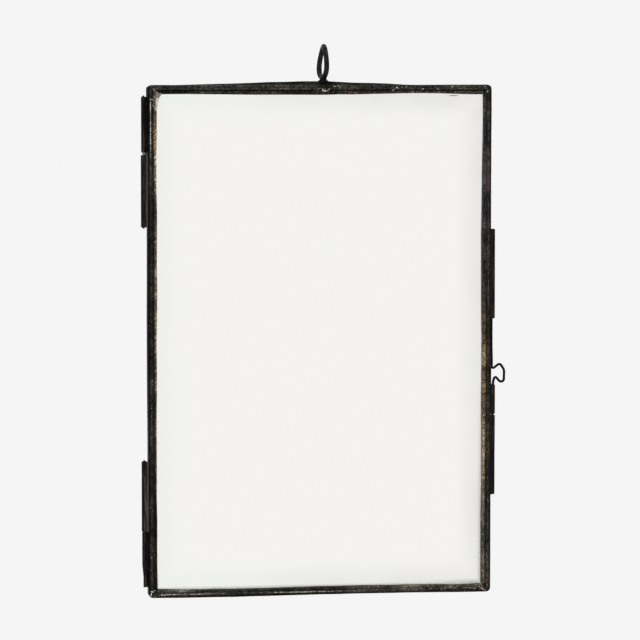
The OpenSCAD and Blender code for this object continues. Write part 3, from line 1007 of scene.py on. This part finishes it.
def roll_tube(name, node, axis_x, radius, wall, offset, ways, file_w, more=(0, 0)):
    """A rolled tube from the bottom to the top of a node, with ways = (to the pane, to its face),
    file_w = what is filed off the outer corners and more = how far it goes on past both ends."""
    low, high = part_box(node)
    start, end = low.z - more[0], high.z + more[1]
    piece = draw_outline(name, [
        (axis_x + ways[0] * x, seam_y + ways[1] * y, start)
        for x, y in rolled_outline(radius, wall, offset)
    ])
    pull((0, 0, end - start))
    for z, way in ((start, -1), (end, 1)):
        slice_off((axis_x - ways[0] * (radius - file_w), 0, z), (-ways[0], 0, way))
    face_outwards()
    soften(piece, 0.06 * mm)
    bpy.ops.object.mode_set(mode="EDIT")
    pick_edges(piece, lambda a, b: abs(a.z - b.z) > 5 * mm)
    bpy.ops.mesh.subdivide(number_cuts=24)
    bpy.ops.object.mode_set(mode="OBJECT")
    outside = lambda p: ramp_up(math.hypot(p.x - axis_x, p.y - seam_y), radius - 0.2 * mm, radius)
    push(piece, "NORMAL", 0.09 * mm, outside, small_dents)
    return piece


def cut_tab(name, z):
    """The corner of the door's sheet that stands on past the roll, beside the edging."""
    free_x, y = hinge_x + 0.62 * mm, seam_y - inner_r
    low, high = z - 2 * mm, z + 1.6 * mm
    piece = draw_outline(
        name, [(free_x, y, low), (left_x, y, low), (left_x, y, high), (free_x, y, high)])
    pull((0, leaf_t, 0))
    face_outwards()
    soften(piece, 0.06 * mm)
    return piece


hinge_x = (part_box("upper_hinge_pin")[0].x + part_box("upper_hinge_pin")[1].x) / 2
outer_r, inner_r = 1.4 * mm, 1.6 * mm
for hinge in ("upper", "lower"):
    for part, radius, wall, body, face in (
        ("outer", outer_r, tube_t, "back_frame", 1),
        ("inner", inner_r, inner_r - outer_r + tube_t, "front_door", -1),
    ):
        knuckle = roll_tube(
            f"{hinge}_hinge_{part}_roll", f"{hinge}_hinge_{part}_knuckle", hinge_x,
            radius, wall, left_x - hinge_x, (1, face), 0.3 * mm,
        )
        if (hinge, part) == ("upper", "inner"):
            tab = cut_tab("tab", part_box("upper_hinge_inner_knuckle")[1].z)
            knuckle = join(knuckle.name, [knuckle, tab])
        if (hinge, part) == ("lower", "outer"):
            # Its free end was knocked in towards the edging and drawn down beside it
            end_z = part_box("lower_hinge_outer_knuckle")[0].z
            knock, knock_run, drawn_run = 0.8 * mm, 13 * mm, 3 * mm
            nudge(knuckle, "X", 0.9 * mm, lambda p: knock * max(
                0.0, ramp_up(p.z, end_z + knock_run, end_z)) * ramp_up(p.x, left_x, hinge_x))
            nudge(knuckle, "Z", 0.9 * mm, lambda p: -knock * max(
                0.0, ramp_up(p.z, end_z + drawn_run, end_z)) * max(
                0.0, ramp_up(p.x, hinge_x - outer_r, left_x)))
        set_on(knuckle, rolled_sheet, "rolled_tube", body, f"{hinge}_hinge_{part}_knuckle")


# ---- Hinge wires ----
# A length of blackened steel wire runs through both knuckles of each hinge. Its ends stand
# out a little and are nipped and filed round.

WIRE_BLACK = (0.0045, 0.004, 0.004, 1)
WIRE_GREY = (0.035, 0.032, 0.030, 1)
WIRE_BARE = (0.20, 0.20, 0.19, 1)
knuckle_gap_z = (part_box("upper_hinge_inner_knuckle")[1].z
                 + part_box("upper_hinge_outer_knuckle")[0].z) / 2


def build_wire(name, wear):
    material, tree, place = new_material(name)
    fine = grain(tree, place, 1500, 4, 0.6)
    broad = grain(tree, place, 260, 2)
    wear_and_sheen = times(tree, fade(tree, broad, wear, wear + 0.3), fade(tree, fine, 0.4, 0.6))
    # The knuckles rub the hinge wire bare between them
    split = add(tree, "SeparateXYZ", {0: place}).outputs
    from_gap = apart(tree, split["Z"], knuckle_gap_z)
    bare = times(tree, fade(tree, from_gap, 0.8 * mm, 1.2 * mm, 1.0, 0.0),
                 calc(tree, "LESS_THAN", split["X"], left_x))
    tone = blend(tree, bare, blend(tree, wear_and_sheen, WIRE_BLACK, WIRE_GREY), WIRE_BARE)
    end_metal(tree, tone, fade(tree, wear_and_sheen, 0.0, 1.0, 0.0, 0.6),
              fade(tree, fine, 0.3, 0.7, 0.32, 0.5), 0.02, fine, 0.3, 0.04 * mm)
    return material


wire_black = build_wire("blackened_wire", 0.45)


def start_wire(name, start, way, radius):
    """The round end of a wire, open, as a ring of edges ready to be drawn out in edit mode."""
    piece = start_piece(
        name, bpy.ops.mesh.primitive_circle_add, vertices=20, radius=radius, location=start,
        rotation=Vector(way).to_track_quat("Z", "Y").to_euler(),
    )
    bpy.ops.object.mode_set(mode="EDIT")
    bpy.ops.mesh.select_mode(type="EDGE")
    bpy.ops.mesh.select_all(action="SELECT")
    return piece


def draw_wire(way, length, steps):
    """Draws the selected end on, in a straight line."""
    for _ in range(steps):
        bpy.ops.mesh.extrude_edges_move(
            TRANSFORM_OT_translate={"value": Vector(way) * length / steps})


def round_wire_ends(piece, radius):
    """Closes both open ends of a wire in edit mode and files them round."""
    for _ in range(2):
        bpy.ops.mesh.select_all(action="DESELECT")
        mesh = bmesh.from_edit_mesh(piece.data)
        rim = [edge for edge in mesh.edges if edge.is_boundary]
        loop, todo = set(), [rim[0]]
        while todo:
            edge = todo.pop()
            if edge in loop:
                continue
            loop.add(edge)
            todo += [e for v in edge.verts for e in v.link_edges if e.is_boundary]
        for edge in loop:
            edge.select_set(True)
        first = next(iter(loop))
        hub = sum((v.co for e in loop for v in e.verts), Vector()) / (2 * len(loop))
        way = (first.verts[0].co - hub).cross(first.verts[1].co - hub).normalized()
        if way.dot(hub - first.link_faces[0].calc_center_median()) < 0:
            way.negate()
        bmesh.update_edit_mesh(piece.data)
        was = 1.0
        for share, rise in ((0.92, 0.12), (0.72, 0.13), (0.4, 0.1)):
            bpy.ops.mesh.extrude_edges_move(TRANSFORM_OT_translate={"value": way * radius * rise})
            bpy.ops.transform.resize(value=(share / was,) * 3)
            was = share
        bpy.ops.mesh.edge_face_add()


for hinge in ("upper", "lower"):
    node = f"{hinge}_hinge_pin"
    low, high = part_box(node)
    pin_r = (high.x - low.x) / 2
    end_rise = 0.35 * pin_r
    pin_r *= 1.1
    pin = start_wire(f"{hinge}_hinge_wire", (hinge_x, seam_y, low.z + end_rise), (0, 0, 1), pin_r)
    draw_wire((0, 0, 1), high.z - low.z - 2 * end_rise, 12)
    round_wire_ends(pin, pin_r)
    face_outwards()
    set_on(pin, wire_black, "wire", "back_frame", node)


# ---- Latch tubes ----
# Three shorter rolls of the same sheet on the other side: two on the back pane that guide
# the latch wire, and between them and the bottom the door's keeper, which the wire drops into.

pin_low, pin_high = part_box("latch_pin")
latch_wire_r = (pin_high.y - pin_low.y) / 2
latch_x = pin_low.x + latch_wire_r
latch_tube_t = 0.25 * mm
press_all, press_more = 0.05 * mm, 0.12 * mm
press_low_z, press_high_z = -233 * mm, -216 * mm
# Their ends were filed askew, so that the guide and the keeper nearly meet
for node, name, body, face, more in (
    ("upper_latch_tube", "upper_latch_roll", "back_frame", 1, (0, 0)),
    ("latch_guide_tube", "latch_guide_roll", "back_frame", 1, (0.5 * mm, 0)),
    ("latch_keeper_tube", "latch_keeper_roll", "front_door", -1, (0, 0.5 * mm)),
):
    roll = roll_tube(name, node, latch_x, outer_r, latch_tube_t, latch_x - right_x, (-1, face),
                     0.6 * mm, more)
    if node != "upper_latch_tube":
        # They are pressed a little outwards, most of all where the two nearly meet
        nudge(roll, "X", 0.2 * mm, lambda p: ramp_up(p.x, latch_x, latch_x + 1.2 * mm) * (
            press_all + press_more * clamp(ramp_up(p.z, press_low_z, press_high_z))))
    set_on(roll, rolled_sheet, "rolled_tube", body, node)


# ---- Latch wire ----
# One steel wire bent cold into a small looped handle. It slides in its tubes, and its lower
# end drops into the door's keeper tube.

guide_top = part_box("latch_guide_tube")[1].z
wire_x = latch_x - 0.42 * mm
wire_r = latch_wire_r + 0.1 * mm
# Corners of the wire before it is bent: distance from its straight run, height over the guide
# tube, and the radius of the bend, in millimetres, from the top of the wire to its lower end
wire_corners = [
    (0, 66.1, 0), (0, 8.9, 0.9), (4.95, 12.65, 1.5), (7.52, 8.6, 3.0), (7.35, -1.25, 1.7),
    (2.0, 5.0, 0.85), (1.0, 2.2, 2.0), (0.5, -2.0, 3.0), (0.5, -18.5, 0),
]


def bend_wire(name, corners, radius):
    """Draws a wire through its corners in the plane of the seam, with a round bend at each."""
    points = [Vector((wire_x + out * mm, seam_y, guide_top + up * mm)) for out, up, _ in corners]
    ways = [(b - a).normalized() for a, b in zip(points, points[1:])]
    turns = [0.0] + [a.angle(b) for a, b in zip(ways, ways[1:])] + [0.0]
    takes = [corner[2] * mm * math.tan(turn / 2) for corner, turn in zip(corners, turns)]
    file_off = 0.35 * radius
    piece = start_wire(name, points[0] + ways[0] * file_off, ways[0], radius)
    for i, way in enumerate(ways):
        run = (points[i + 1] - points[i]).length - takes[i] - takes[i + 1]
        run -= file_off * ((i == 0) + (i == len(ways) - 1))
        draw_wire(way, run, max(1, round(run / (4 * mm))))
        if takes[i + 1] > 0:
            axis = way.cross(ways[i + 1]).normalized()
            bend = points[i + 1] - way * takes[i + 1]
            hub = bend + axis.cross(way) * corners[i + 1][2] * mm
            steps = max(4, round(math.degrees(turns[i + 1]) / 9))
            bpy.ops.mesh.spin(steps=steps, angle=turns[i + 1], center=hub, axis=-axis)
    round_wire_ends(piece, radius)
    face_outwards()
    return piece


latch_wire = bend_wire("latch_wire", wire_corners, wire_r)
# Above the handle it is drawn a little thinner on its outer side
thinner = 0.27 * mm
nudge(latch_wire, "X", thinner, lambda p: -thinner * clamp(
    ramp_up(p.x, wire_x, wire_x + wire_r)) * clamp(
    ramp_up(p.z, guide_top + 14 * mm, guide_top + 24 * mm)))
set_on(latch_wire, wire_black, "wire", "latch_pin", "latch_pin")


# ---- Hanging ring ----
# A ring bent by hand from thick steel wire, a little out of round and twisted. The joint
# between its two ends is down in the solder that holds it on the top edging.

ring_wire_r = 1.5 * mm
ring_r = 9.2 * mm
ring_turn = math.radians(3.6)
ring_lean = math.radians(2.6)
ring_x = -0.5 * mm
ring = start_wire("hanging_ring_wire", (0, 0, -ring_r), (0, 1, 0), ring_wire_r)
bpy.ops.mesh.spin(steps=72, angle=2 * math.pi, center=(0, 0, 0), axis=(1, 0, 0))
face_outwards()
# It isn't flat: its lower half is turned further than its upper half
twist_run = 91 * mm
nudge(ring, "X", 0.7 * mm, lambda p: p.y * p.z / twist_run)
place_piece(ring, Matrix.Translation((ring_x, 0, 0)) @ Matrix.Rotation(ring_turn, 4, "Z")
            @ Matrix.Rotation(ring_lean, 4, "Y"))
push(ring, "NORMAL", 0.1 * mm, None, hand_wave)
push(ring, "NORMAL", 0.05 * mm, None, small_dents)
# The ring's wire has more grey worn patches than the latch wire, partly standing in as painted
# highlight on it
set_on(ring, build_wire("ring_wire", 0.3), "wire", "back_frame", "hanging_ring")


# ---- Solder under the ring ----
# The ring's foot stands in a blob of solder drawn up round it, on the peak of the edging. A
# smear of the same solder has run on to the door's edging below it and is rubbed bright.

foot_low, foot_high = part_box("ring_solder")
foot_r = (foot_high.x - foot_low.x) / 2
foot_spread = flat_d / 2 / foot_r
foot_x = -0.45 * mm
rail_mid_y = back_seam_y + flat_d / 2
foot = start_wire("ring_foot_solder", (foot_x, rail_mid_y, crown_top_z - 0.7 * mm), (0, 0, 1),
                  1.12 * foot_r)
# How far it rises to each of its rims, in millimetres, and how much it narrows there
for rise, share in ((0.6, 1.0), (0.3, 0.9), (0.35, 0.82), (0.4, 0.88), (0.55, 0.93), (0.6, 0.95)):
    bpy.ops.mesh.extrude_edges_move(TRANSFORM_OT_translate={"value": (0, 0, rise * mm)})
    bpy.ops.transform.resize(value=(share, share, 1))
bpy.ops.mesh.edge_face_add()
mesh = bmesh.from_edit_mesh(foot.data)
bpy.ops.mesh.select_all(action="DESELECT")
for edge in mesh.edges:
    edge.select_set(edge.is_boundary)
bpy.ops.mesh.edge_face_add()
# It is no deeper than the edging that it stands on
bpy.ops.mesh.select_all(action="SELECT")
bpy.ops.transform.resize(value=(1, foot_spread, 1), center_override=(0, rail_mid_y, crown_top_z))
face_outwards()
melt(foot, 0.13 * mm, 3)
push(foot, "NORMAL", 0.35 * mm, None, solder_lumps)
set_on(foot, solder, "solder", "back_frame", "ring_solder")

# Lumps, each as across, up, length, height, thickness and turn, in millimetres and radians
smears = [
    dab("smear", x * mm, z * mm, (long * mm, high * mm, thick * mm), turn)
    for x, z, long, high, thick, turn in (
        (-1.0, -16.8, 2.2, 1.8, 0.36, 0.5), (-1.7, -16.0, 0.9, 0.8, 0.24, 0.0),
        (0.2, -17.0, 1.2, 0.9, 0.2, 0.5), (1.4, -17.0, 0.9, 0.5, 0.1, 0.2),
        (-4.2, -15.7, 0.5, 0.6, 0.16, 0.0), (-3.0, -15.7, 0.8, 0.25, 0.1, 0.2),
        (2.1, -16.2, 0.4, 0.9, 0.16, 0.1), (2.3, -15.7, 0.8, 0.45, 0.16, 0.6),
        (5.6, -14.5, 2.6, 0.4, 0.12, 0.3), (8.0, -14.3, 1.4, 0.4, 0.12, 0.5),
        (8.8, -15.2, 0.4, 0.9, 0.12, 0.0), (42.8, -15.2, 1.4, 0.8, 0.22, 0.6),
        (41.2, -16.2, 3.6, 0.3, 0.14, -0.54), (46.0, -15.0, 0.7, 0.4, 0.14, 0.0),
        (48.4, -14.9, 0.5, 0.9, 0.14, 0.2), (58.4, -16.0, 1.5, 0.5, 0.1, 0.1),
        (67.5, -16.0, 0.8, 0.6, 0.16, 0.9), (75.9, -14.8, 1.8, 0.7, 0.12, -0.4),
    )
]
set_on(join("door_solder_smear", smears), clean_solder, "solder", "front_door")


# ---- Studio ----
# A pale room without corners: a floor well below the hanging frame, soft lamps on both sides
# and above, and a long lens a little to the left of the frame and just above its middle.

BACKDROP = (0.913, 0.913, 0.913, 1)
camera_yaw = math.radians(9.12)
camera_pitch = math.radians(3.62)
camera_distance = 2.402
lens = 228.0
aim = middle + Vector((-0.05, 0, 12.15)) * mm
floor_drop = 0.45


def looked_at(tree):
    """1 where the room is seen, straight, mirrored or through the glass."""
    path = add(tree, "LightPath").outputs
    return calc(tree, "MAXIMUM", path["Is Camera Ray"],
                calc(tree, "MAXIMUM", path["Is Glossy Ray"], path["Is Transmission Ray"]))


def build_world():
    world = bpy.data.worlds.new("pale_room")
    bpy.context.scene.world = world
    world.use_nodes = True
    tree = world.node_tree
    tree.nodes.clear()
    light = add(tree, "Background", {"Color": (1, 1, 1, 1), "Strength": 0.8})
    shown = add(tree, "Background", {"Color": BACKDROP, "Strength": 1.0})
    mixed = add(tree, "MixShader", {0: looked_at(tree), 1: light.outputs[0], 2: shown.outputs[0]})
    add(tree, "OutputWorld", {"Surface": mixed.outputs[0]})


def build_floor_finish():
    material, tree, place = new_material("pale_floor")
    matt = add(tree, "BsdfPrincipled", {
        "Base Color": BACKDROP, "Roughness": 0.9, "Specular IOR Level": 0.0,
    })
    glow = add(tree, "Emission", {"Color": BACKDROP, "Strength": 1.0})
    away = add(tree, "VectorMath", {0: place}, operation="LENGTH").outputs["Value"]
    mixed = add(tree, "MixShader", {
        0: times(tree, looked_at(tree), fade(tree, away, 0.6, 2.2)),
        1: matt.outputs[0], 2: glow.outputs[0],
    })
    end_material(tree, mixed)
    return material


build_world()
bpy.ops.object.select_all(action="DESELECT")
bpy.ops.mesh.primitive_plane_add(size=600, location=(0, 0, bottom_z - floor_drop))
floor = bpy.context.object
floor.name = "floor"
floor.data.materials.append(build_floor_finish())

for name, place, size, power in (
    ("key_lamp", (-1.5, -1.7, 1.1), 1.4, 24),
    ("fill_lamp", (1.8, -1.5, 0.3), 1.4, 12),
    ("back_lamp", (0.6, 1.8, 1.2), 1.4, 10),
):
    bpy.ops.object.light_add(type="AREA", location=place)
    lamp = bpy.context.object
    lamp.name = name
    lamp.data.shape = "SQUARE"
    lamp.data.size = size
    lamp.data.energy = power
    lamp.rotation_euler = (aim - Vector(place)).to_track_quat("-Z", "Y").to_euler()

look = Vector((
    math.sin(camera_yaw) * math.cos(camera_pitch),
    math.cos(camera_yaw) * math.cos(camera_pitch),
    -math.sin(camera_pitch),
))
bpy.ops.object.camera_add(
    location=aim - look * camera_distance, rotation=look.to_track_quat("-Z", "Y").to_euler())
camera = bpy.context.object
camera.data.lens = lens
camera.data.sensor_width = 36
camera.data.clip_end = 1000
bpy.context.scene.camera = camera
bpy.context.scene.view_settings.view_transform = "Standard"
